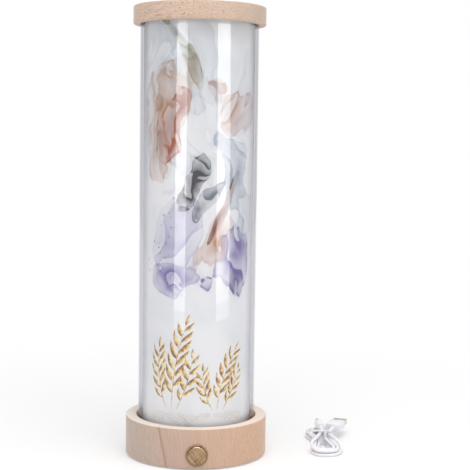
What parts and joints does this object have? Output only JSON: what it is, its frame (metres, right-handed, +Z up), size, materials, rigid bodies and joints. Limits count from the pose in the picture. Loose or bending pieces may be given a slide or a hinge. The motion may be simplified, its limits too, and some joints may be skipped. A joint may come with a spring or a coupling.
{
  "type": "rotating motion lamp",
  "caption": "Table lamp with a printed drum that turns inside a clear tube on a round wooden base with a push button, and a loose supply cable.",
  "frame": {"origin": "centre of the underside, on the surface the lamp stands on", "axes": "+Z up along the tube, -Y towards the push button, +X to the right seen from the button"},
  "size_m": [0.2018, 0.1314, 0.381],
  "materials": {
    "beech_wood": "sanded, unvarnished",
    "white_moulding": "moulded ABS",
    "foot_rubber": "moulded",
    "clear_acrylic": "polished acrylic",
    "printed_film": "printed polyester film",
    "plated_steel": "zinc plated",
    "brass_metal": "satin",
    "gear_plastic": "moulded acetal",
    "column_aluminium": "extruded",
    "strip_white": "flexible circuit",
    "led_yellow": "phosphor in resin",
    "dark_plated_metal": "dark plated",
    "black_plastic": "moulded",
    "tinned_metal": "tinned",
    "board_green": "solder mask",
    "lead_red": "PVC",
    "cable_white": "moulded PVC",
    "nickel_metal": "nickel plated"
  },
  "bodies": {
    "base": {"base_shell": "beech_wood", "bottom_cover": "white_moulding", "cover_screws": "plated_steel", "rubber_feet": "foot_rubber", "clear_tube": "clear_acrylic", "chassis": "white_moulding", "chassis_screws": "plated_steel", "thrust_washer": "brass_metal", "gear_motor": "plated_steel", "motor_screws": "plated_steel", "column_foot": "white_moulding", "light_column": "column_aluminium", "column_head": "white_moulding", "pivot_pin": "plated_steel", "led_strips": "strip_white", "led_chips": "led_yellow", "switch_body": "dark_plated_metal", "switch_nut": "plated_steel", "contact_block": "black_plastic", "switch_terminals": "tinned_metal", "jack_body": "black_plastic", "jack_pin": "brass_metal", "jack_nut": "plated_steel", "jack_terminals": "tinned_metal", "control_board": "board_green", "board_screws": "plated_steel", "board_chips": "black_plastic", "board_sockets": "white_moulding", "supply_leads": "lead_red", "switch_leads": "lead_red", "motor_leads": "lead_red", "led_leads": "lead_red", "cable_hank": "cable_white", "dc_plug_body": "cable_white", "dc_plug_sleeve": "nickel_metal", "dc_plug_insulator": "black_plastic", "usb_plug_body": "cable_white", "usb_shell": "nickel_metal", "usb_tongue": "cable_white", "usb_contacts": "brass_metal", "cable_tie": "cable_white"},
    "drum": {"turntable": "white_moulding", "print_film": "printed_film", "drum_top_ring": "white_moulding", "top_bush": "brass_metal"},
    "pinion": {"drive_pinion": "gear_plastic", "motor_shaft": "plated_steel"},
    "button": {"button_cap": "brass_metal"},
    "cap": {"lid": "beech_wood"}
  },
  "joints": [
    {"name": "drum_spin", "type": "hinge", "parent": "base", "child": "drum", "pos_m": [0, 0, 0.03], "axis": [0, 0, 1], "continuous": true},
    {"name": "pinion_spin", "type": "hinge", "parent": "base", "child": "pinion", "pos_m": [0.034, 0, 0.03], "axis": [0, 0, 1], "continuous": true},
    {"name": "button_press", "type": "slide", "parent": "base", "child": "button", "axis": [0, 1, 0], "range_m": [0, 0.0015], "stiffness_N_per_m": 1200, "springref_m": -0.001},
    {"name": "lid_lift", "type": "slide", "parent": "base", "child": "cap", "axis": [0, 0, 1], "range_m": [0, 0.06]}
  ],
  "couplings": [
    {"joint": "pinion_spin", "follows": "drum_spin", "ratio": -4.6667}
  ]
}
